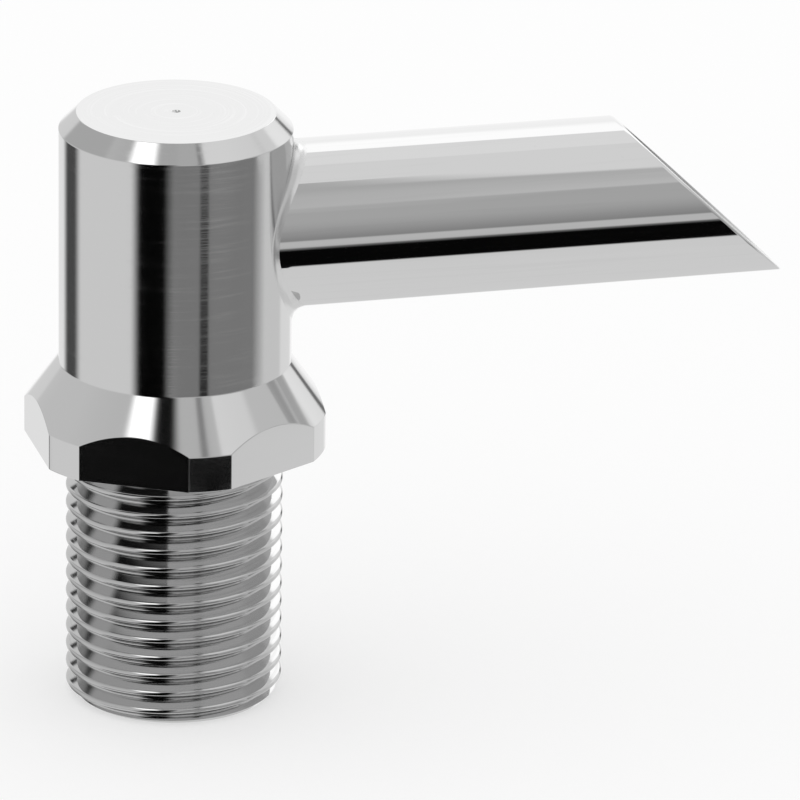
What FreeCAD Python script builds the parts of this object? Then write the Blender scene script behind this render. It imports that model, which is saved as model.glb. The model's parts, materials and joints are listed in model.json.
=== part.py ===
import FreeCAD, Part
import os
import Sketcher

# A fixed water spout: a turned body with a male thread below, a hexagon collar and a closed barrel,
# and a side tube with a slanted mouth, brazed into the barrel.
#
# The body's axis is Z and the tube points along +X.
# The origin is on the body's axis, in the plane of the collar's underside, which is the sealing face.
# All lengths are in millimetres and all angles in degrees.

DRIVING_SIZES = [
    ("thread_dia", 20.8, "outside of the G 1/2 thread"),
    ("thread_length", 25.5, "from the sealing face to the end of the shank"),
    ("thread_end_chamfer", 1.1, "lead-in at the end of the shank"),
    ("bore_dia", 14.0, "waterway drilled up the body"),
    ("bore_mouth_chamfer", 0.6, "broken edge at the mouth of the waterway"),
    ("bore_past_tube_axis", 4.0, "full bore carried on above the tube's axis"),
    ("drill_point_height", 4.2, "cone that the drill leaves at the end of the waterway"),
    ("across_flats", 27.0, "hexagon for the spanner"),
    ("collar_over_flats", 2.1, "diameter of the turned corners beyond the flats"),
    ("collar_edge_height", 3.5, "upright edge of the collar"),
    ("collar_cone_height", 4.8, "cone from the collar's edge up to the barrel"),
    ("barrel_dia", 22.2, "round barrel above the collar"),
    ("barrel_top_height", 33.0, "closed top above the sealing face"),
    ("barrel_top_chamfer", 1.65, "bevel round the closed top"),
    ("centre_mark_dia", 0.8, "lathe centre's mark in the top"),
    ("centre_mark_depth", 0.3, "depth of that mark"),
    ("tube_dia", 16.0, "outside of the side tube"),
    ("tube_wall", 1.2, "wall of the side tube"),
    ("tube_axis_below_top", 12.0, "tube's axis below the closed top"),
    ("tube_seat", 6.0, "tube's inner end, from the body's axis"),
    ("tube_reach", 51.5, "centre of the slanted mouth, from the body's axis"),
    ("mouth_slant", 46.0, "mouth's plane, leaning back from square"),
    ("braze_gap", 0.1, "film of braze round the tube in its counterbore"),
    ("braze_radius", 1.4, "hollow fillet of braze round the tube"),
]

COLLAR_DIA = "(sizes.across_flats + sizes.collar_over_flats)"
CONE_TOP = "(sizes.collar_edge_height + sizes.collar_cone_height)"
TUBE_AXIS_HEIGHT = "(sizes.barrel_top_height - sizes.tube_axis_below_top)"

doc = FreeCAD.newDocument("water_spout")


def make_sheet(rows):
    """The spreadsheet that holds the driving sizes, each cell named by its alias."""
    sheet = doc.addObject("Spreadsheet::Sheet", "sizes")
    for row, (alias, number, meaning) in enumerate(rows, start=1):
        sheet.set(f"A{row}", str(number))
        sheet.setAlias(f"A{row}", alias)
        sheet.set(f"B{row}", meaning)
    doc.recompute()
    return sheet


sizes = make_sheet(DRIVING_SIZES)


def value_of(expression):
    """The plain number that an expression on the sheet's sizes gives."""
    result = sizes.evalExpression(expression)
    return float(getattr(result, "Value", result))


def new_body(name):
    """An empty body whose Label is the name of the piece."""
    body = doc.addObject("PartDesign::Body", name)
    body.Label = name
    return body


def new_sketch(body, name, plane, offset=None):
    """A sketch on one of the body's own origin planes, moved along its normal by the offset expression."""
    sketch = body.newObject("Sketcher::SketchObject", name)
    support = next(f for f in body.Origin.OriginFeatures if f.Role == plane)
    sketch.AttachmentSupport = (support, [""])
    sketch.MapMode = "FlatFace"
    if offset:
        sketch.setExpression("AttachmentOffset.Base.z", offset)
    return sketch


def drive(sketch, constraint, expression):
    """Adds a dimension to a sketch and binds it to the sheet."""
    index = sketch.addConstraint(constraint)
    sketch.setExpression(f"Constraints[{index}]", expression)


def drive_coordinate(sketch, direction, vertex, expression):
    """Holds one coordinate of a vertex at an expression; 0 puts the vertex on the sketch's axis."""
    axis = -2 if direction == "DistanceX" else -1
    number = value_of(expression)
    if expression == "0":
        sketch.addConstraint(Sketcher.Constraint("PointOnObject", *vertex, axis))
    elif number > 0:
        drive(sketch, Sketcher.Constraint(direction, -1, 1, *vertex, number), expression)
    else:
        opposite = f"-({expression})"
        drive(sketch, Sketcher.Constraint(direction, *vertex, -1, 1, -number), opposite)


def draw_outline(sketch, corners):
    """A closed outline of straight lines through corners given as pairs of expressions.

    None in a pair keeps the coordinate of the corner before, with an upright or level line.
    """
    places = []
    for across, up in corners:
        x = places[-1].x if across is None else value_of(across)
        y = places[-1].y if up is None else value_of(up)
        places.append(FreeCAD.Vector(x, y, 0))
    count = len(places)
    for i in range(count):
        sketch.addGeometry(Part.LineSegment(places[i], places[(i + 1) % count]))
    for i in range(count):
        sketch.addConstraint(Sketcher.Constraint("Coincident", i, 2, (i + 1) % count, 1))
    for i, (across, up) in enumerate(corners):
        if across is None:
            sketch.addConstraint(Sketcher.Constraint("Vertical", i - 1))
        else:
            drive_coordinate(sketch, "DistanceX", (i, 1), across)
        if up is None:
            sketch.addConstraint(Sketcher.Constraint("Horizontal", i - 1))
        else:
            drive_coordinate(sketch, "DistanceY", (i, 1), up)


def draw_circle(sketch, diameter, height="0"):
    """A circle on the sketch's upright axis, its centre at a height."""
    centre = FreeCAD.Vector(0, value_of(height), 0)
    circle = Part.Circle(centre, FreeCAD.Vector(0, 0, 1), value_of(diameter) / 2)
    index = sketch.addGeometry(circle)
    drive_coordinate(sketch, "DistanceX", (index, 3), "0")
    drive_coordinate(sketch, "DistanceY", (index, 3), height)
    drive(sketch, Sketcher.Constraint("Diameter", index, value_of(diameter)), diameter)


def draw_hexagon(sketch, across_flats):
    """A hexagon about the origin with one flat square to the sketch's first axis."""
    ring_radius = value_of(across_flats) / 3**0.5
    origin = FreeCAD.Vector(0, 0, 0)
    upright = FreeCAD.Vector(0, 0, 1)
    ring = sketch.addGeometry(Part.Circle(origin, upright, ring_radius), True)
    sketch.addConstraint(Sketcher.Constraint("Coincident", ring, 3, -1, 1))
    first_corner = FreeCAD.Vector(ring_radius, 0, 0)
    corners = [FreeCAD.Rotation(upright, 60 * k - 30).multVec(first_corner) for k in range(6)]
    sides = [
        sketch.addGeometry(Part.LineSegment(corners[k], corners[(k + 1) % 6])) for k in range(6)
    ]
    for k in range(6):
        after = sides[(k + 1) % 6]
        sketch.addConstraint(Sketcher.Constraint("Coincident", sides[k], 2, after, 1))
        sketch.addConstraint(Sketcher.Constraint("PointOnObject", sides[k], 1, ring))
    for side in sides[1:]:
        sketch.addConstraint(Sketcher.Constraint("Equal", sides[0], side))
    sketch.addConstraint(Sketcher.Constraint("Vertical", sides[0]))
    drive_coordinate(sketch, "DistanceX", (sides[0], 1), f"({across_flats}) / 2")


def pad(body, name, sketch, length, midplane=False):
    """Pads a sketch along its normal by a length expression."""
    feature = body.newObject("PartDesign::Pad", name)
    feature.Profile = sketch
    feature.Midplane = midplane
    feature.setExpression("Length", length)
    doc.recompute()
    return feature


def pocket(body, name, sketch, length=None, midplane=False):
    """Cuts a sketch out along its normal by a length expression, or through everything."""
    before = body.Shape.Volume
    feature = body.newObject("PartDesign::Pocket", name)
    feature.Profile = sketch
    feature.Midplane = midplane
    feature.Reversed = not midplane
    if length:
        feature.setExpression("Length", length)
    else:
        feature.Type = "ThroughAll"
    doc.recompute()
    if not body.Shape.Volume < before:
        raise RuntimeError(f"{name} cuts nothing")
    return feature


# The turned and milled body

def turn_body(body):
    """The form that the lathe leaves, bored from below, with the top closed."""
    outline = new_sketch(body, "body_outline", "XZ_Plane")
    shank_end = "-sizes.thread_length"
    bore_end = f"{TUBE_AXIS_HEIGHT} + sizes.bore_past_tube_axis"
    draw_outline(
        outline,
        [
            ("sizes.bore_dia / 2 + sizes.bore_mouth_chamfer", shank_end),
            ("sizes.thread_dia / 2 - sizes.thread_end_chamfer", None),
            ("sizes.thread_dia / 2", f"{shank_end} + sizes.thread_end_chamfer"),
            (None, "0"),
            (f"{COLLAR_DIA} / 2", None),
            (None, "sizes.collar_edge_height"),
            ("sizes.barrel_dia / 2", CONE_TOP),
            (None, "sizes.barrel_top_height - sizes.barrel_top_chamfer"),
            ("sizes.barrel_dia / 2 - sizes.barrel_top_chamfer", "sizes.barrel_top_height"),
            ("sizes.centre_mark_dia / 2", None),
            ("0", "sizes.barrel_top_height - sizes.centre_mark_depth"),
            (None, f"{bore_end} + sizes.drill_point_height"),
            ("sizes.bore_dia / 2", bore_end),
            (None, f"{shank_end} + sizes.bore_mouth_chamfer"),
        ],
    )
    turning = body.newObject("PartDesign::Revolution", "turning")
    turning.Profile = outline
    turning.ReferenceAxis = (outline, ["V_Axis"])
    turning.Angle = 360
    doc.recompute()


def mill_flats(body):
    """Six spanner flats, which run out in the cone above the collar's edge."""
    flats = new_sketch(body, "spanner_flats", "XY_Plane")
    draw_circle(flats, f"{COLLAR_DIA} * 1.25")
    draw_hexagon(flats, "sizes.across_flats")
    pocket(body, "flats_milled", flats, CONE_TOP)


def bore_for_tube(body):
    """A passage into the waterway, and the counterbore that the tube is brazed into."""
    passage = new_sketch(body, "passage_circle", "YZ_Plane")
    draw_circle(passage, "sizes.tube_dia - 2 * sizes.tube_wall", TUBE_AXIS_HEIGHT)
    pocket(body, "passage_drilled", passage, "sizes.barrel_dia")
    seat = new_sketch(body, "tube_seat_circle", "YZ_Plane", "sizes.tube_seat")
    draw_circle(seat, "sizes.tube_dia + 2 * sizes.braze_gap", TUBE_AXIS_HEIGHT)
    pocket(body, "tube_seat_counterbored", seat, "sizes.barrel_dia")


spout_body = new_body("spout_body")
turn_body(spout_body)
mill_flats(spout_body)
bore_for_tube(spout_body)


# The side tube with its slanted mouth

def cut_tube(body):
    """A plain tube from its seat in the barrel to well past the mouth."""
    ring = new_sketch(body, "tube_ring", "YZ_Plane", "sizes.tube_seat")
    draw_circle(ring, "sizes.tube_dia", TUBE_AXIS_HEIGHT)
    draw_circle(ring, "sizes.tube_dia - 2 * sizes.tube_wall", TUBE_AXIS_HEIGHT)
    pad(body, "tube_length", ring, "sizes.tube_reach + 2 * sizes.tube_dia - sizes.tube_seat")


def slant_mouth(body):
    """The saw cut that leaves the long side of the tube at the bottom."""
    cut = new_sketch(body, "mouth_cut", "XZ_Plane")
    lean = "sizes.tube_dia * tan(sizes.mouth_slant * 1 deg)"
    above = f"{TUBE_AXIS_HEIGHT} + sizes.tube_dia"
    below = f"{TUBE_AXIS_HEIGHT} - sizes.tube_dia"
    past_end = "sizes.tube_reach + 3 * sizes.tube_dia"
    draw_outline(
        cut,
        [
            (f"sizes.tube_reach - {lean}", above),
            (f"sizes.tube_reach + {lean}", below),
            (past_end, None),
            (None, above),
        ],
    )
    pocket(body, "mouth_sawn", cut, "2 * sizes.tube_dia", midplane=True)


spout_tube = new_body("spout_tube")
cut_tube(spout_tube)
slant_mouth(spout_tube)


# The braze round the tube

def edges_between_cylinders(shape, first_radius, second_radius):
    """Names of the edges where a cylinder of one radius meets one of the other radius."""
    names = []
    wanted = sorted((first_radius, second_radius))
    for number, edge in enumerate(shape.Edges, start=1):
        faces = shape.ancestorsOfType(edge, Part.Face)
        if len(faces) != 2 or not all(isinstance(f.Surface, Part.Cylinder) for f in faces):
            continue
        radii = sorted(f.Surface.Radius for f in faces)
        if all(abs(a - b) < 1e-6 for a, b in zip(radii, wanted)):
            names.append(f"Edge{number}")
    return names


def shape_braze(body):
    """The barrel and the tube joined by a fillet, with the tube and the waterway taken out."""
    barrel_circle = new_sketch(body, "barrel_circle", "XY_Plane")
    draw_circle(barrel_circle, "sizes.barrel_dia")
    pad(body, "barrel_stretch", barrel_circle, "sizes.barrel_top_height - sizes.barrel_top_chamfer")
    tube_circle = new_sketch(body, "tube_circle", "YZ_Plane")
    draw_circle(tube_circle, "sizes.tube_dia", TUBE_AXIS_HEIGHT)
    crossing = pad(body, "tube_stretch", tube_circle, "sizes.barrel_dia")
    radii = (value_of("sizes.barrel_dia / 2"), value_of("sizes.tube_dia / 2"))
    fillet = body.newObject("PartDesign::Fillet", "braze_hollow")
    fillet.Base = (crossing, edges_between_cylinders(crossing.Shape, *radii))
    fillet.setExpression("Radius", "sizes.braze_radius")
    doc.recompute()
    tube_out = new_sketch(body, "tube_taken_out", "YZ_Plane")
    draw_circle(tube_out, "sizes.tube_dia", TUBE_AXIS_HEIGHT)
    pocket(body, "tube_space", tube_out, "2 * sizes.barrel_dia")
    waterway_out = new_sketch(body, "waterway_taken_out", "XY_Plane")
    draw_circle(waterway_out, "sizes.bore_dia")
    pocket(body, "waterway_space", waterway_out, "2 * sizes.barrel_top_height")


def fill_joint(blank, around):
    """What is left of the blank outside the spout's body: the fillet, and the film in the joint."""
    braze = doc.addObject("Part::Cut", "braze_fillet")
    braze.Label = "braze_fillet"
    braze.Base = blank
    braze.Tool = around
    doc.recompute()
    return braze


braze_blank = new_body("braze_blank")
shape_braze(braze_blank)
braze_fillet = fill_joint(braze_blank, spout_body)


# Checks and files

def check_document():
    """Stops if any object failed to build."""
    doc.recompute()
    for item in doc.Objects:
        if {"Invalid", "Error"} & set(item.State):
            raise RuntimeError(f"{item.Name} did not build: {item.State}")


def check_piece(piece):
    """Stops if a piece isn't one sound solid."""
    shape = piece.Shape
    if shape.isNull() or not shape.isValid() or len(shape.Solids) != 1:
        raise RuntimeError(f"{piece.Label} isn't one valid solid")


check_document()
pieces = [spout_body, spout_tube, braze_fillet]
for piece in pieces:
    check_piece(piece)

os.makedirs("parts", exist_ok=True)
for piece in pieces:
    piece.Shape.exportStep(f"parts/{piece.Label}.step")
    box = piece.Shape.BoundBox
    print(f"{piece.Label}: volume {piece.Shape.Volume:.1f}, X {box.XMin:.2f} to {box.XMax:.2f}, "
          f"Y {box.YMin:.2f} to {box.YMax:.2f}, Z {box.ZMin:.2f} to {box.ZMax:.2f}")
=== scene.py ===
"""A fixed water spout in bright chrome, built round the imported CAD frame.

The turned body, its threaded shank, the side tube and the braze round it are modelled here at the
sizes of the CAD solids, with the small edges, the helical thread and the tool marks that a mirror
finish shows. Shapes are made in millimetres and brought to metres when each piece is finished.
"""

import json
import logging
import math
from collections.abc import Iterable, Sequence
from dataclasses import dataclass, field
from enum import Enum
from functools import partial

import bmesh
import bpy
from bmesh.types import BMEdge, BMesh, BMVert
from bpy.types import Material, Node, NodeOutputs, NodeSocket, Object, ShaderNodeTree, World
from mathutils import Matrix, Vector


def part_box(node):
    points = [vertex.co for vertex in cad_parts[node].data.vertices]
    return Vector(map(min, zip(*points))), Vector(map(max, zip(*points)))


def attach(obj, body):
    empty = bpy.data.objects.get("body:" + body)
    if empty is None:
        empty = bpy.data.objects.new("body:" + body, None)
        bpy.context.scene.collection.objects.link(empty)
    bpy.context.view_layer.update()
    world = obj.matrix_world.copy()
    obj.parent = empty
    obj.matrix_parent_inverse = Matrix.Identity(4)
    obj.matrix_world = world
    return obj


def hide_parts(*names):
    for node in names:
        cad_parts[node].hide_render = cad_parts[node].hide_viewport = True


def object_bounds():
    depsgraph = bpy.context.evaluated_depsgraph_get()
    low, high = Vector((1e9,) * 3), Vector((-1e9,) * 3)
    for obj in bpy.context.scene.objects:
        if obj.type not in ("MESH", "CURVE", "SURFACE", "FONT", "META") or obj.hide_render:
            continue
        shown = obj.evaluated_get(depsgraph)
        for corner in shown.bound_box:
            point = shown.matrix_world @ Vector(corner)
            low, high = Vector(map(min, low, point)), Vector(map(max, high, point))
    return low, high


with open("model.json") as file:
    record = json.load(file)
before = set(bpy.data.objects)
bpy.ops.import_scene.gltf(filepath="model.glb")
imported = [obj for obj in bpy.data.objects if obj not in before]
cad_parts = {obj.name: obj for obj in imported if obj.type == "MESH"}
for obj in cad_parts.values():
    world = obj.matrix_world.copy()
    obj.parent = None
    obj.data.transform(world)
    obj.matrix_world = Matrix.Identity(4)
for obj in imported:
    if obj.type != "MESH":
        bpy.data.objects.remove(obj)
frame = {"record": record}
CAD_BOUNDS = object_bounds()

log = logging.getLogger("water_spout")

# What a shader socket takes: an output to join to it, or a value
Input = NodeSocket | float | tuple[float, ...]

MM = 0.001
UP = Vector((0, 0, 1))
TUBE_DIRECTION = Vector((1, 0, 0))
WELD = 1e-4
LARGE_FACES_WEIGH = 70


def mount(name: str) -> dict:
    """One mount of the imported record, by its name."""
    return next(row for row in frame["record"]["mounts"] if row["name"] == name)


def box_mm(node: str) -> tuple[Vector, Vector]:
    """A CAD node's lowest and highest corner in millimetres."""
    low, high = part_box(node)
    return low / MM, high / MM


# Mesh work shared by the pieces


def only(kind: type, geom: Iterable) -> list:
    """The parts of one kind, such as edges, among those that an operator gave back."""
    return [part for part in geom if isinstance(part, kind)]


def whole(bm: BMesh) -> list:
    """All the vertices, edges and faces of a shape."""
    return bm.verts[:] + bm.edges[:] + bm.faces[:]


def spin_profile(
    bm: BMesh,
    points: Iterable[tuple[float, float]],
    steps: int,
    closed: bool = False,
    rise: float = 0.0,
) -> None:
    """Draws a profile and spins it once round the Z axis.

    Args:
        bm: The shape to draw it in.
        points: Pairs of radius and height along the profile.
        steps: Facets round the axis.
        closed: Whether the profile's last point joins its first.
        rise: How far the turn climbs. Without a rise its end is merged with its start.
    """
    verts = [bm.verts.new((radius, 0, height)) for radius, height in points]
    ends = verts[1:] + verts[:1] if closed else verts[1:]
    bmesh.ops.spin(
        bm,
        geom=verts + [bm.edges.new(pair) for pair in zip(verts, ends)],
        cent=(0, 0, 0),
        axis=UP,
        dvec=UP * rise / steps,
        angle=math.tau,
        steps=steps,
        use_merge=rise == 0,
    )


def turned_shape(profile: Iterable[tuple[float, float]], steps: int, closed: bool = False) -> BMesh:
    """A shape turned round the Z axis from a profile, its poles closed and its faces outwards."""
    bm = bmesh.new()
    spin_profile(bm, profile, steps, closed)
    bmesh.ops.remove_doubles(bm, verts=bm.verts, dist=WELD)
    bmesh.ops.dissolve_degenerate(bm, dist=WELD / 10, edges=bm.edges)
    bmesh.ops.recalc_face_normals(bm, faces=bm.faces)
    return bm


def saw_off(bm: BMesh, place: Vector, normal: Vector) -> list[BMEdge]:
    """Takes away what lies beyond a plane, and gives the open edges that are left there."""
    cut = bmesh.ops.bisect_plane(
        bm,
        geom=whole(bm),
        dist=WELD,
        plane_co=place,
        plane_no=normal,
        clear_outer=True,
    )
    return only(BMEdge, cut["geom_cut"])


def round_edges(bm: BMesh, edges: Iterable[BMEdge], radius: float, segments: int = 3) -> None:
    """Breaks edges with a small round that reaches a radius, in millimetres, from each."""
    bmesh.ops.bevel(
        bm,
        geom=list(edges),
        offset=radius,
        offset_type="OFFSET",
        affect="EDGES",
        segments=segments,
        profile=0.5,
        material=-1,
        clamp_overlap=True,
    )


def creases(bm: BMesh, degrees: float) -> list[BMEdge]:
    """The edges whose two faces turn by more than an angle."""
    limit = math.radians(degrees)
    return [edge for edge in bm.edges if edge.is_manifold and edge.calc_face_angle(0) > limit]


def object_of(bm: BMesh, name: str) -> Object:
    """Links a new object that holds the shape, which is then freed."""
    mesh = bpy.data.meshes.new(name)
    bm.to_mesh(mesh)
    bm.free()
    made = bpy.data.objects.new(name, mesh)
    bpy.context.scene.collection.objects.link(made)
    return made


class Cut(Enum):
    """What a cutter does to the shape it is applied to."""

    TAKE_OUT = "DIFFERENCE"
    KEEP_INSIDE = "INTERSECT"


def cut_with(bm: BMesh, cutter: BMesh, cut: Cut) -> BMesh:
    """Cuts one closed shape with another.

    Args:
        bm: The shape, which is freed.
        cutter: The cutting shape, which is freed.
        cut: Whether the cutter's inside goes or stays.

    Returns:
        The shape that is left.
    """
    blank = object_of(bm, "blank")
    tool = object_of(cutter, "tool")
    boolean = blank.modifiers.new("cut", "BOOLEAN")
    boolean.operation = cut.value
    boolean.solver = "EXACT"
    boolean.object = tool
    depsgraph = bpy.context.evaluated_depsgraph_get()
    left = bmesh.new()
    left.from_mesh(blank.evaluated_get(depsgraph).to_mesh())
    for used in (blank, tool):
        bpy.data.meshes.remove(used.data)
    bmesh.ops.remove_doubles(left, verts=left.verts, dist=WELD)
    return left


def finished_piece(bm: BMesh, name: str, sharp: float) -> Object:
    """Brings a shape to metres and shades it smoothly between its sharp edges.

    Args:
        bm: The shape in millimetres, which is freed.
        name: The piece's name.
        sharp: Edges that turn by more degrees than this stay sharp.

    Returns:
        The piece, at the origin.
    """
    for face in bm.faces:
        face.smooth = True
    for edge in creases(bm, sharp):
        edge.smooth = False
    bmesh.ops.scale(bm, vec=(MM, MM, MM), verts=bm.verts)
    piece = object_of(bm, name)
    normals = piece.modifiers.new("flat_faces_stay_flat", "WEIGHTED_NORMAL")
    normals.weight = LARGE_FACES_WEIGH
    normals.keep_sharp = True
    return piece


# Finishes

STREAK_LEVEL = 7.3
STREAK_SCALE = 0.6
STREAK_EDGE = (0.5, 0.75)
SPECK_CHOICE = (0.6, 0.3, 0.1)
SPECK_EDGE = (0.05, 0.22)
DRESSED_ACROSS = (0.8, 0.5, 0.3)
DRESSED_ALONG = (-0.3, 0.8, -0.5)


class NodeTree:
    """Adds nodes to a tree and joins them by the names of their sockets."""

    def __init__(self, tree: bpy.types.NodeTree) -> None:
        """Starts on an existing tree."""
        self.tree = tree

    @classmethod
    def emptied(cls, owner: Material | World) -> "NodeTree":
        """Starts on the tree of a new material or world, without the nodes that it comes with."""
        owner.use_nodes = True
        owner.node_tree.nodes.clear()
        return cls(owner.node_tree)

    def add(self, kind: str, inputs: dict | None = None, **settings: object) -> Node:
        """Adds a node.

        Args:
            kind: The node's type.
            inputs: What each named or numbered input gets: a value, or an output to join to it.
            settings: Settings of the node itself.

        Returns:
            The node.
        """
        node = self.tree.nodes.new(kind)
        for setting, value in settings.items():
            setattr(node, setting, value)
        for socket, value in (inputs or {}).items():
            if isinstance(value, NodeSocket):
                self.tree.links.new(value, node.inputs[socket])
            else:
                node.inputs[socket].default_value = value
        return node

    def math(self, operation: str, *values: Input) -> NodeSocket:
        """The result of a Math node on values or outputs."""
        return self.add("ShaderNodeMath", dict(enumerate(values)), operation=operation).outputs[0]

    def vector(self, operation: str, *values: Input) -> NodeSocket:
        """The result of a Vector Math node: a number for a length or a dot product, else a vector."""
        node = self.add("ShaderNodeVectorMath", dict(enumerate(values)), operation=operation)
        return node.outputs["Value" if operation in ("LENGTH", "DOT_PRODUCT") else "Vector"]

    def dot(self, first: Input, second: Input) -> NodeSocket:
        """The dot product of two vectors."""
        return self.vector("DOT_PRODUCT", first, second)

    def length_in(self, axes: tuple[int, int, int], vector: NodeSocket) -> NodeSocket:
        """The length of a vector, measured only in the axes that are 1."""
        return self.vector("LENGTH", self.vector("MULTIPLY", vector, axes))

    def parts(self, vector: NodeSocket) -> NodeOutputs:
        """The X, Y and Z of a vector."""
        return self.add("ShaderNodeSeparateXYZ", {0: vector}).outputs

    def step(self, value: Input, start: Input, end: Input) -> NodeSocket:
        """A smooth step from 0 at start to 1 at end."""
        inputs = {"Value": value, "From Min": start, "From Max": end}
        node = self.add("ShaderNodeMapRange", inputs, interpolation_type="SMOOTHSTEP", clamp=True)
        return node.outputs["Result"]

    def blend(self, share: Input, low: float, high: float) -> NodeSocket:
        """A number that runs from low where the share is 0 to high where it is 1."""
        return self.math("MULTIPLY_ADD", share, high - low, low)

    def noise(self, place: NodeSocket, scale: Input, detail: float, roughness: float = 0.5) -> NodeSocket:
        """Cloudy noise."""
        inputs = {"Vector": place, "Scale": scale, "Detail": detail, "Roughness": roughness}
        return self.add("ShaderNodeTexNoise", inputs).outputs[0]

    def grey(self, tone: NodeSocket) -> NodeSocket:
        """The grey of a tone."""
        return self.add("ShaderNodeCombineColor", {0: tone, 1: tone, 2: tone}).outputs[0]

    def mixed(self, share: NodeSocket | float, first: Node, second: Node) -> Node:
        """Two shaders mixed, with the share of the second."""
        return self.add("ShaderNodeMixShader", {0: share, 1: first.outputs[0], 2: second.outputs[0]})

    def show(self, shader: Node, kind: str = "ShaderNodeOutputMaterial") -> None:
        """Joins a shader to the surface of the material, or of the world."""
        self.add(kind, {"Surface": shader.outputs[0]})


def new_group(name: str, inputs: dict[str, str], outputs: dict[str, str]) -> ShaderNodeTree:
    """Makes an empty shader node group.

    Args:
        name: The group's name.
        inputs: The socket type of each named input.
        outputs: The socket type of each named output.

    Returns:
        The group, which has no nodes yet.
    """
    group = bpy.data.node_groups.new(name, "ShaderNodeTree")
    for in_out, sockets in (("INPUT", inputs), ("OUTPUT", outputs)):
        for socket, kind in sockets.items():
            group.interface.new_socket(socket, in_out=in_out, socket_type=f"NodeSocket{kind}")
    return group


def tool_marks_group() -> ShaderNodeTree:
    """Fine parallel marks of a tool, broken up by polishing: their height, and a mask of streaks."""
    numbers = ("Across", "Along", "Marks per mm", "Breaks per mm", "Grains per mm", "Grain Share")
    group = new_group(
        "tool_marks",
        {"Vector": "Vector"} | dict.fromkeys(numbers, "Float"),
        {"Height": "Float", "Streaks": "Float"},
    )
    nodes = NodeTree(group)
    given = nodes.add("NodeGroupInput").outputs
    across, along = (
        nodes.math("MULTIPLY", nodes.math("DIVIDE", given[way], MM), given[how_many])
        for way, how_many in (("Across", "Marks per mm"), ("Along", "Breaks per mm"))
    )
    place, streak_place = (
        nodes.add("ShaderNodeCombineXYZ", {"X": across, "Y": along, "Z": level}).outputs[0]
        for level in (0.0, STREAK_LEVEL)
    )
    lines = nodes.noise(place, 1.0, detail=2.0, roughness=0.6)
    grain = nodes.noise(given["Vector"], nodes.math("DIVIDE", given["Grains per mm"], MM), detail=1.0)
    streaks = nodes.noise(streak_place, STREAK_SCALE, detail=1.0)
    nodes.add(
        "NodeGroupOutput",
        {
            "Height": nodes.math("MULTIPLY_ADD", grain, given["Grain Share"], lines),
            "Streaks": nodes.step(streaks, *STREAK_EDGE),
        },
    )
    return group


def fine_specks_group() -> ShaderNodeTree:
    """A mask of small pits and dust scattered in the plating."""
    group = new_group(
        "fine_specks",
        {"Vector": "Vector", "Spacing mm": "Float", "Share": "Float"},
        {"Specks": "Float"},
    )
    nodes = NodeTree(group)
    given = nodes.add("NodeGroupInput").outputs
    inputs = {"Vector": given["Vector"], "Scale": nodes.math("DIVIDE", 1 / MM, given["Spacing mm"])}
    cells = nodes.add("ShaderNodeTexVoronoi", inputs).outputs
    chosen = nodes.math("LESS_THAN", nodes.dot(cells["Color"], SPECK_CHOICE), given["Share"])
    near = nodes.math("SUBTRACT", 1.0, nodes.step(cells["Distance"], *SPECK_EDGE))
    nodes.add("NodeGroupOutput", {"Specks": nodes.math("MULTIPLY", chosen, near)})
    return group


class MarkLine(Enum):
    """The line that the tool marks follow."""

    ROUND_THE_BODY = "turned"
    ALONG_THE_TUBE = "drawn"
    NO_LINE = "dressed by hand"


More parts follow.
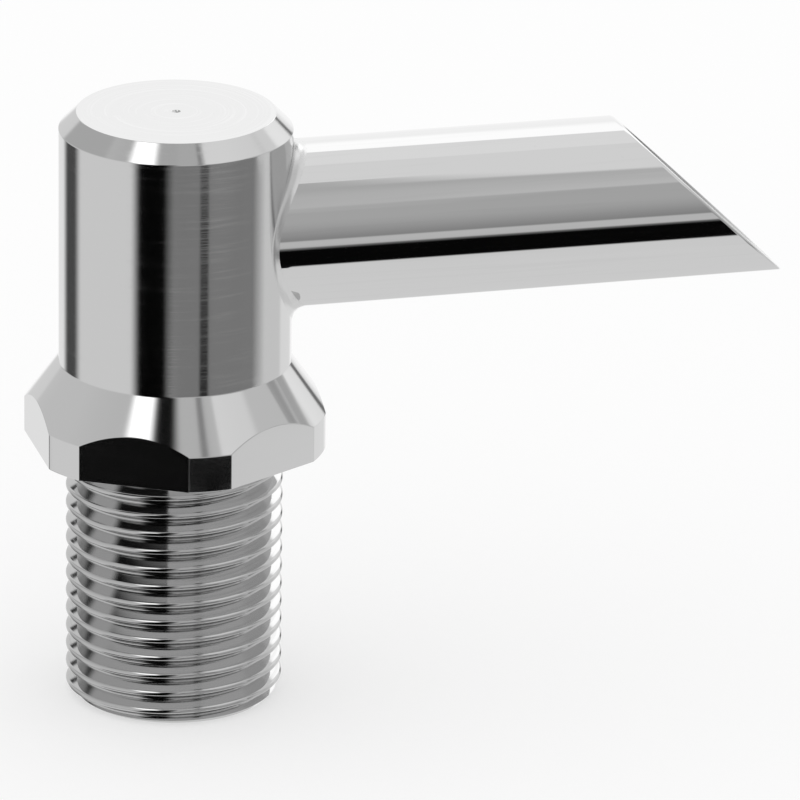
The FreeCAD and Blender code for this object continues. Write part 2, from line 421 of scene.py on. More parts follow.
@dataclass(frozen=True)
class ChromeFinish:
    """Bright chrome plating over a surface with its own tool marks.

    Below the level smoother_below the turner polished the marks away more. The reaches are the radii
    that the turn is measured on, on upright and on level faces. Lengths are in millimetres.
    """

    name: str
    slot: str
    marks: MarkLine
    colour: float = 0.88
    streak_colour: float = 0.86
    roughness: float = 0.05
    streak_roughness: float = 0.1
    smoother_below: float | None = None
    smooth_relief: float = 0.08
    smooth_wear: float = 0.2
    smooth_edge: float = 0.2
    level_edge: tuple[float, float] = (0.8, 0.9)
    barrel_reach: float = 11.0
    level_reach: float = 3.0
    marks_per_mm: float = 5.5
    breaks_per_mm: float = 0.35
    mark_depth: float = 0.0004
    grains_per_mm: float = 3.0
    grain_share: float = 0.5
    speck_spacing: float = 0.9
    speck_share: float = 0.12
    bore_wall: float = 0.0
    bore_roughness: float = 0.38

    def lines(self, nodes: NodeTree, place: NodeSocket) -> tuple[NodeSocket, NodeSocket]:
        """How far a point lies across the marks and along them, in metres.

        Args:
            nodes: The material's tree.
            place: The point, in the object's coordinates.

        Returns:
            The distance across and the distance along.
        """
        if self.marks is MarkLine.NO_LINE:
            return nodes.dot(place, DRESSED_ACROSS), nodes.dot(place, DRESSED_ALONG)
        parts = nodes.parts(place)
        if self.marks is MarkLine.ALONG_THE_TUBE:
            height = nodes.math("SUBTRACT", parts["Z"], tube_axis_height() * MM)
            turn = nodes.math("ARCTAN2", height, parts["Y"])
            return nodes.math("MULTIPLY", turn, tube_radius() * MM), parts["X"]
        on_top = self.level_faces(nodes)
        across = nodes.math(
            "ADD",
            nodes.math("MULTIPLY", parts["Z"], nodes.math("SUBTRACT", 1.0, on_top)),
            nodes.math("MULTIPLY", nodes.length_in((1, 1, 0), place), on_top),
        )
        turn = nodes.math("ARCTAN2", parts["Y"], parts["X"])
        reach = nodes.blend(on_top, self.barrel_reach * MM, self.level_reach * MM)
        return across, nodes.math("MULTIPLY", turn, reach)

    def level_faces(self, nodes: NodeTree) -> Input:
        """A mask of a turned piece's level faces, where the marks are rings. Other pieces have 1."""
        if self.marks is not MarkLine.ROUND_THE_BODY:
            return 1.0
        normal = nodes.add("ShaderNodeNewGeometry").outputs["Normal"]
        return nodes.step(nodes.math("ABSOLUTE", nodes.parts(normal)["Z"]), *self.level_edge)

    def in_bore(self, nodes: NodeTree, place: NodeSocket) -> NodeSocket:
        """A mask of the wall of the piece's bore, which is never polished."""
        if self.marks is MarkLine.ALONG_THE_TUBE:
            off_axis = nodes.vector("SUBTRACT", place, (0, 0, tube_axis_height() * MM))
            radius = nodes.length_in((0, 1, 1), off_axis)
        else:
            radius = nodes.length_in((1, 1, 0), place)
        return nodes.math("LESS_THAN", radius, self.bore_wall * MM)

    def unpolished(self, nodes: NodeTree, place: NodeSocket) -> Input:
        """A mask that is 0 where the surface was polished more, and 1 elsewhere."""
        if self.smoother_below is None:
            return 1.0
        level, soft = self.smoother_below * MM, self.smooth_edge * MM
        return nodes.step(nodes.parts(place)["Z"], level - soft, level + soft)

    def material(self, marks_group: ShaderNodeTree, specks_group: ShaderNodeTree) -> Material:
        """Builds the material.

        Args:
            marks_group: The shared group of tool marks.
            specks_group: The shared group of specks.

        Returns:
            The material.
        """
        material = bpy.data.materials.new(self.name)
        nodes = NodeTree.emptied(material)
        place = nodes.add("ShaderNodeTexCoord").outputs["Object"]
        across, along = self.lines(nodes, place)
        marks = nodes.add(
            "ShaderNodeGroup",
            {
                "Vector": place,
                "Across": across,
                "Along": along,
                "Marks per mm": self.marks_per_mm,
                "Breaks per mm": self.breaks_per_mm,
                "Grains per mm": self.grains_per_mm,
                "Grain Share": self.grain_share,
            },
            node_tree=marks_group,
        )
        specks = nodes.add(
            "ShaderNodeGroup",
            {"Vector": place, "Spacing mm": self.speck_spacing, "Share": self.speck_share},
            node_tree=specks_group,
        )
        unpolished = self.unpolished(nodes, place)
        worn = nodes.math("MAXIMUM", marks.outputs["Streaks"], specks.outputs["Specks"])
        worn = nodes.math("MULTIPLY", worn, nodes.blend(unpolished, self.smooth_wear, 1.0))
        roughness = nodes.blend(worn, self.roughness, self.streak_roughness)
        if self.bore_wall:
            duller = nodes.math("MULTIPLY", self.in_bore(nodes, place), self.bore_roughness)
            roughness = nodes.math("MAXIMUM", roughness, duller)
        coloured = nodes.math("MULTIPLY", worn, self.level_faces(nodes))
        relief = nodes.blend(unpolished, self.smooth_relief, 1.0)
        bump = nodes.add(
            "ShaderNodeBump",
            {
                "Strength": 1.0,
                "Distance": self.mark_depth * MM,
                "Height": nodes.math("MULTIPLY", marks.outputs["Height"], relief),
            },
        )
        chrome = {
            "Base Color": nodes.grey(nodes.blend(coloured, self.colour, self.streak_colour)),
            "Metallic": 1.0,
            "Roughness": roughness,
            "Normal": bump.outputs[0],
        }
        nodes.show(nodes.add("ShaderNodeBsdfPrincipled", chrome))
        return material


TURNED_CHROME = ChromeFinish(
    name="turned_chrome",
    slot="turned_chrome",
    marks=MarkLine.ROUND_THE_BODY,
    streak_colour=0.92,
    roughness=0.09,
    streak_roughness=0.13,
    smoother_below=8.3,
    mark_depth=0.0018,
    marks_per_mm=7.0,
    breaks_per_mm=0.25,
    grain_share=0.4,
)
# The body's chrome with a lower colour on the thread. The chrome is the thread's own, and the darkening
# below the body's 0.88 is painted shade of the thread's grooves.
SHADED_THREAD_CHROME = ChromeFinish(
    name="thread_chrome_painted_shade",
    slot="turned_chrome",
    marks=MarkLine.ROUND_THE_BODY,
    colour=0.75,
    streak_colour=0.68,
    roughness=0.08,
    streak_roughness=0.16,
    bore_wall=7.1,
)
POLISHED_CHROME = ChromeFinish(
    name="polished_chrome",
    slot="polished_chrome",
    marks=MarkLine.ALONG_THE_TUBE,
    roughness=0.03,
    streak_roughness=0.05,
    mark_depth=0.00012,
    marks_per_mm=4.0,
    breaks_per_mm=0.1,
    bore_wall=7.0,
)
BRAZE_CHROME = ChromeFinish(
    name="braze_chrome",
    slot="braze_chrome",
    marks=MarkLine.NO_LINE,
    roughness=0.2,
    streak_roughness=0.28,
    mark_depth=0.002,
    marks_per_mm=2.0,
)


# The pieces

BARREL_RADIUS = 11.1


def tube_axis_height() -> float:
    """Height of the side tube's axis above the sealing face, in millimetres."""
    return mount("outlet_bore")["pos_m"][2] / MM


def tube_radius() -> float:
    """Outside radius of the side tube, in millimetres."""
    return box_mm("spout_tube")[1].y


@dataclass
class TurnedBody:
    """The body above its sealing face: hexagon collar, cone, barrel and closed top, in millimetres."""

    flat_distance: float
    corner_radius: float
    top: float
    bore_radius: float = 7.0
    barrel_radius: float = BARREL_RADIUS
    collar_edge: float = 3.5
    cone_height: float = 4.8
    top_bevel: float = 1.65
    mark_radius: float = 0.43
    mark_depth: float = 0.5
    bore_end: float = 25.0
    drill_point: float = 4.2
    passage_radius: float = 6.8
    seat_radius: float = 8.1
    seat_start: float = 6.0
    broken_edge: float = 0.06
    facets: int = 256
    passage_facets: int = 128

    def profile(self) -> list[tuple[float, float]]:
        """The turned profile, from the drill's point inside to the lathe centre's mark on top."""
        cone_top = self.collar_edge + self.cone_height
        return [
            (0.0, self.bore_end + self.drill_point),
            (self.bore_radius, self.bore_end),
            (self.bore_radius, 0.0),
            (self.corner_radius, 0.0),
            (self.corner_radius, self.collar_edge),
            (self.barrel_radius, cone_top),
            (self.barrel_radius, self.top - self.top_bevel),
            (self.barrel_radius - self.top_bevel, self.top),
            (self.mark_radius, self.top),
            (0.0, self.top - self.mark_depth),
        ]

    def mill_flats(self, bm: BMesh) -> None:
        """Cuts the six flats, one of them square to the side tube."""
        for number in range(6):
            normal = Matrix.Rotation(math.radians(60 * number), 3, "Z") @ TUBE_DIRECTION
            rim = saw_off(bm, normal * self.flat_distance, normal)
            bmesh.ops.holes_fill(bm, edges=rim, sides=0)
        bmesh.ops.recalc_face_normals(bm, faces=bm.faces)

    def passage(self) -> BMesh:
        """The cutter for the tube's passage and its counterbore, along +X."""
        outside = 2 * self.barrel_radius
        cutter = turned_shape(
            [
                (0.0, 0.0),
                (self.passage_radius, 0.0),
                (self.passage_radius, self.seat_start),
                (self.seat_radius, self.seat_start),
                (self.seat_radius, outside),
                (0.0, outside),
            ],
            self.passage_facets,
        )
        lay_along_tube(cutter)
        return cutter

    def build(self) -> Object:
        """Turns, mills, breaks the edges of and drills the body."""
        bm = turned_shape(self.profile(), self.facets)
        self.mill_flats(bm)
        round_edges(bm, creases(bm, degrees=15), self.broken_edge)
        bm = cut_with(bm, self.passage(), Cut.TAKE_OUT)
        return finished_piece(bm, "body_turning", sharp=6)


def lay_along_tube(bm: BMesh) -> None:
    """Turns a shape made round Z onto the side tube's axis."""
    onto_x = Matrix.Rotation(math.radians(90), 3, "Y")
    bmesh.ops.rotate(bm, matrix=onto_x, verts=bm.verts)
    bmesh.ops.translate(bm, vec=UP * tube_axis_height(), verts=bm.verts)


@dataclass
class InletThread:
    """The shank below the sealing face, with its right-hand thread, in millimetres."""

    crest_radius: float
    end: float
    pitch: float = 1.814
    flank_angle: float = 27.5
    root_bottom: float = 9.18
    crest_round: float = 0.4
    crest_round_below: float = 0.12
    flank_margin: float = 0.05
    end_bevel: float = 1.1
    bore_radius: float = 7.0
    bore_bevel: float = 0.6
    phase: float = -0.5
    spare_turns: int = 2
    round_parts: int = 6
    facets: int = 160
    blank_facets: int = 256

    def ridge(self) -> list[tuple[float, float]]:
        """One pitch of the thread's profile, from a crest's top up to the next.

        Buffing has rounded the crests more above than below.
        """
        flank = math.radians(self.flank_angle)
        depth = self.crest_radius - self.root_bottom
        rounds = (self.pitch - 2 * depth * math.tan(flank)) * math.cos(flank) / (1 - math.sin(flank))
        root_round = (rounds - self.crest_round - self.crest_round_below) / 2
        parts = self.round_parts
        turns = [math.radians(90 - self.flank_angle) * part / parts for part in range(-parts, parts + 1)]
        above, below = (
            [
                (self.crest_radius - crest * (1 - math.cos(turn)), crest * math.sin(turn))
                for turn in turns[parts:]
            ]
            for crest in (self.crest_round, self.crest_round_below)
        )
        root_start = self.root_bottom + root_round * (1 - math.cos(turns[0]))
        root_level = above[-1][1] + (above[-1][0] - root_start) * math.tan(flank)
        middle = root_level - root_round * math.sin(turns[0])
        root = [
            (self.root_bottom + root_round * (1 - math.cos(turn)), middle + root_round * math.sin(turn))
            for turn in turns
        ]
        out = math.cos(flank) * self.flank_margin
        rise = math.sin(flank) * self.flank_margin
        return [
            *above,
            (above[-1][0] - out, above[-1][1] + rise),
            (root[0][0] + out, root[0][1] - rise),
            *root,
            (root[-1][0] + out, root[-1][1] + rise),
            (below[-1][0] - out, self.pitch - below[-1][1] - rise),
            *[(radius, self.pitch - height) for radius, height in reversed(below)],
        ]

    def wound_ridge(self) -> BMesh:
        """The thread's outside as a closed rod, longer than the shank at both ends."""
        bm = bmesh.new()
        start = self.end - self.spare_turns * self.pitch
        ridge = [(radius, start + height) for radius, height in self.ridge()]
        spin_profile(bm, ridge, self.facets, rise=self.pitch)
        turn = whole(bm)
        for number in range(1, math.ceil(-self.end / self.pitch) + 2 * self.spare_turns):
            copied = bmesh.ops.duplicate(bm, geom=turn)["geom"]
            bmesh.ops.translate(bm, vec=UP * self.pitch * number, verts=only(BMVert, copied))
        bmesh.ops.remove_doubles(bm, verts=bm.verts, dist=WELD)
        self.close_end(bm, below=True)
        self.close_end(bm, below=False)
        bmesh.ops.rotate(bm, cent=(0, 0, 0), matrix=Matrix.Rotation(self.phase, 3, "Z"), verts=bm.verts)
        bmesh.ops.recalc_face_normals(bm, faces=bm.faces)
        return bm

    def close_end(self, bm: BMesh, below: bool) -> None:
        """Draws one open end of the rod together to a point on the axis."""
        middle = self.end / 2
        rim = [edge for edge in bm.edges if edge.is_boundary and (edge.verts[0].co.z < middle) == below]
        drawn = bmesh.ops.extrude_edge_only(bm, edges=rim)["geom"]
        beyond = 2 * self.spare_turns * self.pitch
        height = self.end - beyond if below else beyond
        bmesh.ops.pointmerge(bm, verts=only(BMVert, drawn), merge_co=(0, 0, height))

    def envelope(self) -> BMesh:
        """The bored and bevelled blank that the thread is cut in."""
        outside = self.crest_radius + self.crest_round
        return turned_shape(
            [
                (self.bore_radius, 0.0),
                (outside, 0.0),
                (outside, self.end + self.end_bevel + outside - self.crest_radius),
                (self.crest_radius - self.end_bevel, self.end),
                (self.bore_radius + self.bore_bevel, self.end),
                (self.bore_radius, self.end + self.bore_bevel),
            ],
            self.blank_facets,
            closed=True,
        )

    def build(self) -> Object:
        """Winds the thread and cuts it to the shank's blank."""
        bm = cut_with(self.wound_ridge(), self.envelope(), Cut.KEEP_INSIDE)
        return finished_piece(bm, "inlet_thread", sharp=34)


@dataclass
class SideTube:
    """The drawn tube with its slanted mouth, in millimetres."""

    radius: float
    bore_radius: float
    seat: float
    reach: float = 51.5
    mouth_slant: float = 46.0
    mouth_twist: float = 2.3
    mouth_round: float = 0.3
    mouth_parts: int = 6
    broken_edge: float = 0.08
    rim_depth: float = 0.1
    facets: int = 256

    def on_mouth_rim(self, edge: BMEdge) -> bool:
        """Whether an edge belongs to the outer rim of the mouth."""
        axis = UP * tube_axis_height()
        past_seat = self.seat + self.radius
        outer = self.radius - self.rim_depth
        return all(vert.co.x > past_seat and (vert.co - axis).yz.length > outer for vert in edge.verts)

    def build(self) -> Object:
        """Draws the tube, saws its mouth a little askew and breaks the edges."""
        past_mouth = self.reach + 2 * self.radius
        bm = turned_shape(
            [
                (self.bore_radius, self.seat),
                (self.radius, self.seat),
                (self.radius, past_mouth),
                (self.bore_radius, past_mouth),
            ],
            self.facets,
            closed=True,
        )
        lay_along_tube(bm)
        slant = math.radians(self.mouth_slant)
        twist = math.radians(-self.mouth_twist)
        across_mouth = Matrix.Rotation(twist, 3, "X") @ Vector((math.cos(slant), 0, math.sin(slant)))
        mouth = Vector((self.reach, 0, tube_axis_height()))
        bmesh.ops.bridge_loops(bm, edges=saw_off(bm, mouth, across_mouth))
        bmesh.ops.recalc_face_normals(bm, faces=bm.faces)
        corners = creases(bm, degrees=20)
        rim = [edge for edge in corners if self.on_mouth_rim(edge)]
        others = [edge for edge in corners if edge not in rim]
        round_edges(bm, others, self.broken_edge)
        rim = [edge for edge in rim if edge.is_valid]
        round_edges(bm, rim, self.mouth_round, self.mouth_parts)
        return finished_piece(bm, "side_tube", sharp=34)


@dataclass
class BrazeFillet:
    """The saddle of braze where the tube enters the barrel, as a ball rolls round the corner."""

    tube_radius: float
    barrel_radius: float = BARREL_RADIUS
    ball_radius: float = 1.4
    bedding: float = 0.003
    root_depth: float = 0.03
    arc_parts: int = 20
    facets: int = 256

    def on_arc(self, part: float, turn: float) -> Vector:
        """A point of the fillet.

        Args:
            part: 0 where the fillet meets the tube, 1 where it meets the barrel.
            turn: The angle round the tube.

        Returns:
            The point, with the tube's axis at height 0.
        """
        across = math.cos(turn)
        reach = self.tube_radius + self.ball_radius
        round_barrel = (self.barrel_radius + self.ball_radius) ** 2 - (reach * across) ** 2
        ball = Vector((math.sqrt(round_barrel), reach * across, reach * math.sin(turn)))
        to_tube = -Vector((0, across, math.sin(turn)))
        to_barrel = -Vector((ball.x, ball.y, 0)).normalized()
        return ball + to_tube.slerp(to_barrel, part) * (self.ball_radius + self.bedding)

    def root(self, turn: float) -> Vector:
        """A point just under the corner between tube and barrel, which closes the fillet's back."""
        radius = self.tube_radius - self.root_depth
        across = radius * math.cos(turn)
        inside = self.barrel_radius - self.root_depth
        return Vector((math.sqrt(inside**2 - across**2), across, radius * math.sin(turn)))

    def build(self) -> Object:
        """Draws the fillet ring by ring from the tube to the barrel, and closes its back."""
        bm = bmesh.new()
        bmesh.ops.create_circle(bm, segments=self.facets, radius=1.0)
        rim = bm.edges[:]
        turns = {vert: math.atan2(vert.co.y, vert.co.x) for vert in bm.verts}
        arcs = [partial(self.on_arc, part / self.arc_parts) for part in range(self.arc_parts + 1)]
        for ring, place in enumerate((*arcs, self.root)):
            if ring > 0:
                drawn = bmesh.ops.extrude_edge_only(bm, edges=rim)["geom"]
                rim = only(BMEdge, drawn)
                turns = {
                    vert: next(turns[end] for e in vert.link_edges if (end := e.other_vert(vert)) in turns)
                    for vert in only(BMVert, drawn)
                }
            for vert, turn in turns.items():
                vert.co = place(turn)
        bmesh.ops.bridge_loops(bm, edges=[edge for edge in bm.edges if edge.is_boundary])
        bmesh.ops.translate(bm, vec=UP * tube_axis_height(), verts=bm.verts)
        bmesh.ops.recalc_face_normals(bm, faces=bm.faces)
        return finished_piece(bm, "braze_saddle", sharp=50)


# The studio

EDGE_ON = 0.001
SHEET_FACETS = 96


@dataclass(frozen=True)
class StudioCard:
    """A board, flag or lamp of the studio, which the chrome reflects, seen from the object.

    Directions are in degrees: the azimuth runs to the right from the camera.
    """

    name: str
    azimuth: float
    half_width: float
    low: float
    high: float
    tone: float
    top_tone: float | None = None
    graded: tuple[float, float] = (-20.0, 20.0)
    elevation: float = 0.0
    roll: float = 0.0
    lean: float = 0.0
    taper: float = 0.0
    soft: float = 2.0
    soft_ends: float = 2.0


STUDIO_CARDS = (
    StudioCard("right wall", 95, 50.5, -70, 80, 0.66, top_tone=0.7, graded=(30, 60), soft=4),
    StudioCard("right wall in shade", 114, 18, -50, -6, 0.59, soft=6, soft_ends=4),
    StudioCard("panel at the left", -123.5, 28, -3.5, 19, 0.41, elevation=30, roll=-36, soft=3),
    StudioCard("backdrop", 180, 39, -36, 76, 0.66, top_tone=0.76, graded=(30, 55), soft=4, soft_ends=8),
    StudioCard("backdrop at the right", 146, 17, -36, 30, 0.73, top_tone=0.86, graded=(-12, 24), soft=4),
    StudioCard("backdrop at the left", -155, 13, -36, -12, 0.79, soft=5, soft_ends=4),
    StudioCard("backdrop centre", 177, 17, -33, 50, 0.96, top_tone=1.1, graded=(22, 32), soft=6),
    StudioCard("backdrop edge", 152, 3.0, -13, 13, 0.14, soft=1.8),
    StudioCard("strip at the left", -124, 13, -50, 3, 0.065, top_tone=0.4, graded=(-18, -11), soft=7),
    StudioCard("clamp at the left", -154.3, 1.9, 18.5, 24, 0.03, soft=1.2, soft_ends=1.5),
    StudioCard("window behind", 157, 7, 11, 32, 1.3, soft=3),
    StudioCard("board beside the camera", 38, 52.5, -27.6, 35.7, 0.185, top_tone=0.4, soft=14),
    StudioCard("board's far end", 79, 7.6, -24.5, -5, 0.19, soft=2.8, soft_ends=3),
    StudioCard(
        "board above the camera", -5, 28.5, 35, 78, 0.47,
        top_tone=0.42, graded=(55, 68), lean=0.239, soft=3.5,
    ),
    StudioCard("table edge", 47, 38, -17.4, -8, 0.5, soft_ends=1.4),
    StudioCard("wall above the board", 97, 19, -8, 40, 0.53, soft=5, soft_ends=4),
    StudioCard("dark post", 27.9, 3.5, -43, -18.7, 0.002, lean=-0.1, taper=0.6, soft=1.6, soft_ends=2.6),
    StudioCard("board seam", 16.7, 3.5, 40, 75, 0.22, lean=0.196, soft=2.5),
    StudioCard("camera flag", -18.6, 16, -34, 58, 0.001, lean=0.147, taper=0.214, soft=6.5),
    StudioCard("soft box", -43.2, 9.6, -13, 13, 1.4, elevation=58, lean=-0.65, soft=4),
)


@dataclass(frozen=True)
class NearBoard:
    """An upright board close to the object, which lower and higher pieces see in different directions.

    Lengths are in millimetres, and the tone runs evenly from its left end to its right.
    """

    name: str
    azimuth: float
    distance: float
    level: float
    width: float
    height: float
    left_tone: float
    right_tone: float


NEAR_BOARDS = (
    NearBoard("low_block", 24.3, 39.5, -8, 25.5, 5.4, left_tone=0.004, right_tone=0.004),
    NearBoard("board_past_the_tube", 87.4, 90, -10.2, 25.7, 26.4, left_tone=0.19, right_tone=0.59),
)


def tangent(degrees: float) -> float:
    """The tangent of an angle in degrees."""
    return math.tan(math.radians(degrees))


def direction(azimuth: float, elevation: float, camera_azimuth: float) -> Vector:
    """The direction of a place in the studio, in the object's frame.

    Args:
        azimuth: Degrees to the right from the camera, seen from the object.
        elevation: Degrees above the level.
        camera_azimuth: Degrees that the camera stands round from -Y.

    Returns:
        A unit vector.
    """
    turn = math.radians(azimuth + camera_azimuth)
    rise = math.radians(elevation)
    level = Vector((math.sin(turn), -math.cos(turn), 0))
    return level * math.cos(rise) + UP * math.sin(rise)


def opaque_grey(tone: float) -> tuple[float, float, float, float]:
    """A grey for a colour socket."""
    return (tone, tone, tone, 1.0)


def level_round(radius: float, height: float) -> BMesh:
    """A level round sheet on the body's axis, in metres."""
    bm = bmesh.new()
    bmesh.ops.create_circle(bm, cap_ends=True, segments=SHEET_FACETS, radius=radius)
    bmesh.ops.translate(bm, vec=UP * height, verts=bm.verts)
    return bm


def studio_card_group() -> ShaderNodeTree:
    """Where a direction meets a flat card: the card's mask, and how far up its graded part."""
    vectors = ("Direction", "Centre", "Across", "Upward")
    widths = ("Half Width", "Lean", "Taper", "Low", "High", "Soft", "Soft Ends")
    floats = (*widths, "Graded From", "Graded To")
    inputs = dict.fromkeys(vectors, "Vector") | dict.fromkeys(floats, "Float")
    group = new_group("studio_card", inputs, {"Mask": "Float", "Height": "Float"})
    nodes = NodeTree(group)
    given = nodes.add("NodeGroupInput").outputs
    facing = nodes.dot(given["Direction"], given["Centre"])
    depth = nodes.math("MAXIMUM", facing, EDGE_ON)
    across, height = (
        nodes.math("DIVIDE", nodes.dot(given["Direction"], given[way]), depth)
        for way in ("Across", "Upward")
    )
    leaning = nodes.math("SUBTRACT", across, nodes.math("MULTIPLY", height, given["Lean"]))
    aside = nodes.math("ABSOLUTE", leaning)
    narrowing = nodes.math("SUBTRACT", 1.0, nodes.math("MULTIPLY", height, given["Taper"]))
    half_width = nodes.math("MULTIPLY", given["Half Width"], narrowing)
    beside, above_low, above_high = (
        nodes.step(value, nodes.math("SUBTRACT", edge, soft), nodes.math("ADD", edge, soft))
        for value, edge, soft in (
            (aside, half_width, given["Soft"]),
            (height, given["Low"], given["Soft Ends"]),
            (height, given["High"], given["Soft Ends"]),
        )
    )
    inside = nodes.math("MULTIPLY", nodes.math("SUBTRACT", 1.0, beside), above_low)
    inside = nodes.math("MULTIPLY", inside, nodes.math("SUBTRACT", 1.0, above_high))
    mask = nodes.math("MULTIPLY", inside, nodes.math("GREATER_THAN", facing, EDGE_ON))
    rising = nodes.step(height, given["Graded From"], given["Graded To"])
    nodes.add("NodeGroupOutput", {"Mask": mask, "Height": rising})
    return group


def stage_for_chrome(bm: BMesh, name: str, material: Material) -> None:
    """Adds a mesh that only the chrome's reflections see."""
    made = object_of(bm, name)
    made.data.materials.append(material)
    made.visible_camera = False
    made.visible_diffuse = False
    made.visible_shadow = False


@dataclass
class Studio:
    """The pale floor, the white surroundings, and the boards that the chrome reflects.

    The shaded part of the table is measured from the body's axis, in degrees and millimetres. What the
    chrome shows of itself keeps the share twice_seen of its tone at each further reflection.
    """

    camera_azimuth: float
    floor_height: float
    floor_radius: float = 0.5
    floor_tone: float = 0.97
    floor_glow: float = 0.5
    shade_azimuth: float = -35.5
    shade_half_width: float = 30.5
    shade_start: tuple[float, float] = (19.0, 28.0)
    shade_end: float = 60.0
    shade_soft_left: float = 6.0
    shade_soft_right: float = 1.0
    shade_lift: float = 0.05
    shade_tone: float = 0.008
    twice_seen: float = 0.74
    cards: Sequence[StudioCard] = STUDIO_CARDS
    near_boards: Sequence[NearBoard] = NEAR_BOARDS
    sky: Sequence[tuple[float, float]] = (
        (-90, 0.66), (-20, 0.63), (14, 0.55), (30, 0.545),
        (50, 0.48), (60, 0.43), (71, 0.4), (90, 0.4),
    )

    def add_card(
        self,
        nodes: NodeTree,
        group: ShaderNodeTree,
        ray: NodeSocket,
        tone: NodeSocket,
        card: StudioCard,
    ) -> NodeSocket:
        """Lays a card over the tone of the studio so far.

        Args:
            nodes: The world's tree.
            group: The shared card group.
            ray: The direction that is looked in.
            tone: The tone so far.
            card: The card.

        Returns:
            The tone with the card in it.
        """
        centre = direction(card.azimuth, card.elevation, self.camera_azimuth)
        level = direction(card.azimuth + 90, 0, self.camera_azimuth)
        across = Matrix.Rotation(math.radians(-card.roll), 3, centre) @ level
        angles = {
            "Half Width": card.half_width,
            "Low": card.low,
            "High": card.high,
            "Soft": card.soft,
            "Soft Ends": card.soft_ends,
            "Graded From": card.graded[0],
            "Graded To": card.graded[1],
        }
        inputs = {name: tangent(degrees) for name, degrees in angles.items()}
        inputs |= {"Direction": ray, "Centre": centre, "Across": across, "Upward": centre.cross(across)}
        inputs |= {"Lean": card.lean, "Taper": card.taper}
        placed = nodes.add("ShaderNodeGroup", inputs, node_tree=group, label=card.name).outputs
        top_tone = card.tone if card.top_tone is None else card.top_tone
        own = nodes.blend(placed["Height"], card.tone, top_tone)
        return nodes.math("MULTIPLY_ADD", placed["Mask"], nodes.math("SUBTRACT", own, tone), tone)

    def build_world(self) -> None:
        """White surroundings for the camera and the floor, and the studio's cards for the chrome."""
        world = bpy.data.worlds.new("studio")
        nodes = NodeTree.emptied(world)
        ray = nodes.add("ShaderNodeTexCoord").outputs["Generated"]
        upwards = nodes.math("MULTIPLY_ADD", nodes.parts(ray)["Z"], 0.5, 0.5)
        ramp = nodes.add("ShaderNodeValToRGB", {"Fac": upwards})
        stops = ramp.color_ramp.elements
        while len(stops) < len(self.sky):
            stops.new(0.5)
        for stop, (elevation, tone) in zip(stops, self.sky):
            stop.position = 0.5 + 0.5 * math.sin(math.radians(elevation))
            stop.color = opaque_grey(tone)
        tone = nodes.add("ShaderNodeSeparateColor", {0: ramp.outputs["Color"]}).outputs[0]
        group = studio_card_group()
        for card in self.cards:
            tone = self.add_card(nodes, group, ray, tone, card)
        light_path = nodes.add("ShaderNodeLightPath").outputs
        further = nodes.math("MAXIMUM", nodes.math("SUBTRACT", light_path["Ray Depth"], 2.0), 0.0)
        tone = nodes.math("MULTIPLY", tone, nodes.math("POWER", self.twice_seen, further))
        white = nodes.add("ShaderNodeBackground", {"Color": opaque_grey(1.0)})
        studio = nodes.add("ShaderNodeBackground", {"Color": nodes.grey(tone)})
        seen = nodes.mixed(light_path["Is Glossy Ray"], white, studio)
        nodes.show(seen, "ShaderNodeOutputWorld")
        world.cycles.sampling_method = "NONE"
        bpy.context.scene.world = world

    def floor_material(self) -> Material:
        """Matt white, which keeps a soft shadow and fades from below."""
        material = bpy.data.materials.new("floor_white")
        nodes = NodeTree.emptied(material)
        matt = nodes.add("ShaderNodeBsdfDiffuse", {"Color": opaque_grey(self.floor_tone)})
        glow = nodes.add("ShaderNodeEmission", {"Color": opaque_grey(1.0)})
        below = nodes.add("ShaderNodeNewGeometry").outputs["Backfacing"]
        clear = nodes.add("ShaderNodeBsdfTransparent")
        nodes.show(nodes.mixed(below, nodes.mixed(self.floor_glow, matt, glow), clear))
        return material

    def build_near_board(self, board: NearBoard) -> None:
        """Stands one board close to the object, where only the chrome's reflections see it."""
        bm = bmesh.new()
        bmesh.ops.create_grid(bm, x_segments=1, y_segments=1, size=0.5)
        bmesh.ops.scale(bm, vec=(board.width * MM, board.height * MM, 1), verts=bm.verts)
        facing = direction(board.azimuth, 0, self.camera_azimuth)
        upright = facing.to_track_quat("Z", "Y").to_matrix()
        place = facing * board.distance * MM + UP * board.level * MM
        bmesh.ops.transform(bm, matrix=Matrix.Translation(place) @ upright.to_4x4(), verts=bm.verts)
        material = bpy.data.materials.new(f"{board.name}_paint")
        nodes = NodeTree.emptied(material)
        rightwards = direction(board.azimuth + 90, 0, self.camera_azimuth)
        point = nodes.add("ShaderNodeTexCoord").outputs["Object"]
        slope = (board.right_tone - board.left_tone) / (board.width * MM)
        middle = (board.right_tone + board.left_tone) / 2
        tone = nodes.math("MULTIPLY_ADD", nodes.dot(point, rightwards), slope, middle)
        nodes.show(nodes.add("ShaderNodeEmission", {"Color": nodes.grey(tone)}))
        stage_for_chrome(bm, board.name, material)

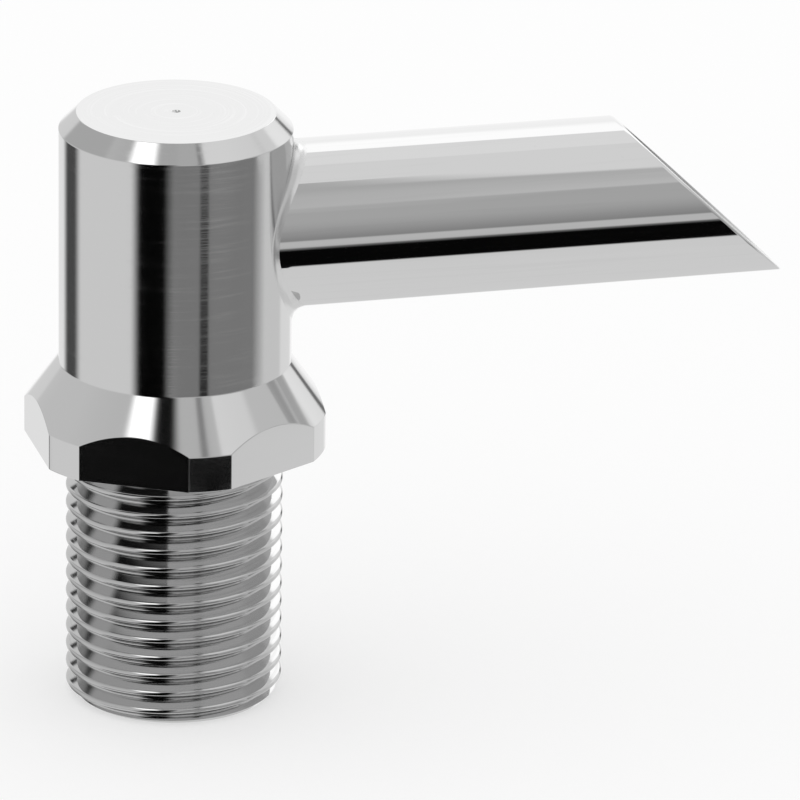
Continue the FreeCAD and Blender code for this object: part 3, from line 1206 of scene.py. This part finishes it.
    def build_shade(self) -> None:
        """The part of the table in front that the camera's flag shades, which the thread reflects."""
        material = bpy.data.materials.new("shaded_table")
        nodes = NodeTree.emptied(material)
        place = nodes.add("ShaderNodeTexCoord").outputs["Object"]
        ahead, aside = (
            nodes.dot(place, direction(self.shade_azimuth + turn, 0, self.camera_azimuth))
            for turn in (0, 90)
        )
        turn = nodes.math("ARCTAN2", aside, ahead)
        start, full = self.shade_start
        beyond = nodes.step(nodes.length_in((1, 1, 0), place), start * MM, full * MM)
        half = self.shade_half_width
        past_left, past_right = (
            nodes.step(turn, math.radians(edge - soft), math.radians(edge + soft))
            for edge, soft in ((-half, self.shade_soft_left), (half, self.shade_soft_right))
        )
        between = nodes.math("MULTIPLY", past_left, nodes.math("SUBTRACT", 1.0, past_right))
        shaded = nodes.math("MULTIPLY", beyond, between)
        clear = nodes.add("ShaderNodeBsdfTransparent")
        black = nodes.add("ShaderNodeEmission", {"Color": opaque_grey(self.shade_tone)})
        nodes.show(nodes.mixed(shaded, clear, black))
        sheet = level_round(self.shade_end * MM, self.floor_height + self.shade_lift * MM)
        stage_for_chrome(sheet, "shade_on_the_table", material)

    def build_floor(self) -> None:
        """A wide round floor under the shank's end."""
        floor = object_of(level_round(self.floor_radius, self.floor_height), "floor")
        floor.data.materials.append(self.floor_material())
        floor.visible_glossy = False

    def build(self) -> None:
        """Builds the world, the floor, the near boards and the shade on the table."""
        self.build_world()
        self.build_floor()
        for board in self.near_boards:
            self.build_near_board(board)
        self.build_shade()
        bpy.context.scene.view_settings.view_transform = "Standard"


@dataclass
class PhotoCamera:
    """The camera at the photograph's viewing angle. Angles in degrees, lengths in millimetres."""

    azimuth: float = -14.995
    pitch: float = 20.462
    roll: float = 0.792
    lens: float = 405.0
    sensor: float = 36.0
    nearest: float = 50.0
    farthest: float = 20000.0
    origin_right: float = -21.531
    origin_up: float = -3.688
    origin_ahead: float = 859.797

    def build(self) -> None:
        """Places the camera so that the sealing face's centre shows at its place in the picture."""
        ahead = -direction(0, self.pitch, self.azimuth)
        level = direction(90, 0, self.azimuth)
        right = Matrix.Rotation(math.radians(-self.roll), 3, ahead) @ level
        upward = right.cross(ahead)
        data = bpy.data.cameras.new("camera")
        data.lens = self.lens
        data.sensor_width = self.sensor
        data.sensor_fit = "HORIZONTAL"
        data.clip_start = self.nearest * MM
        data.clip_end = self.farthest * MM
        camera = bpy.data.objects.new("camera", data)
        bpy.context.scene.collection.objects.link(camera)
        place = -(self.origin_right * right + self.origin_up * upward + self.origin_ahead * ahead)
        turn = Matrix((right, upward, -ahead)).transposed().to_4x4()
        camera.matrix_world = Matrix.Translation(place * MM) @ turn
        bpy.context.scene.camera = camera


@dataclass
class WaterSpout:
    """The whole spout: its pieces, each on the frame's one body."""

    made: list[Object] = field(default_factory=list)

    def place(self, piece: Object, node: str, finish: ChromeFinish, material: Material) -> None:
        """Gives a piece its finish and its place in the frame.

        Args:
            piece: The new piece.
            node: The CAD node that it stands for.
            finish: Its finish; not used.
            material: The material of that finish.
        """
        piece.data.materials.append(material)
        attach(piece, "root")
        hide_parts(node)
        self.made.append(piece)
        log.info("%s: %d faces, for %s", piece.name, len(piece.data.polygons), node)

    def build(self) -> None:
        """Builds and dresses every piece."""
        low, high = box_mm("spout_body")
        outlet = mount("outlet_bore")["dims"]["r_mm"]
        body = TurnedBody(high.x, corner_radius=high.y, top=high.z).build()
        thread = InletThread(mount("inlet_thread")["dims"]["r_mm"], end=low.z).build()
        tube = SideTube(tube_radius(), outlet, seat=box_mm("spout_tube")[0].x).build()
        braze = BrazeFillet(tube_radius()).build()
        marks_group = tool_marks_group()
        specks_group = fine_specks_group()
        for piece, node, finish in (
            (body, "spout_body", TURNED_CHROME),
            (thread, "spout_body", SHADED_THREAD_CHROME),
            (tube, "spout_tube", POLISHED_CHROME),
            (braze, "braze_fillet", BRAZE_CHROME),
        ):
            self.place(piece, node, finish, finish.material(marks_group, specks_group))


def main() -> None:
    """Builds the camera, the spout and the studio."""
    logging.basicConfig(level=logging.INFO, format="%(message)s")
    camera = PhotoCamera()
    camera.build()
    spout = WaterSpout()
    spout.build()
    log.info("%d pieces in place", len(spout.made))
    Studio(camera_azimuth=camera.azimuth, floor_height=CAD_BOUNDS[0].z).build()


if __name__ == "__main__":
    main()
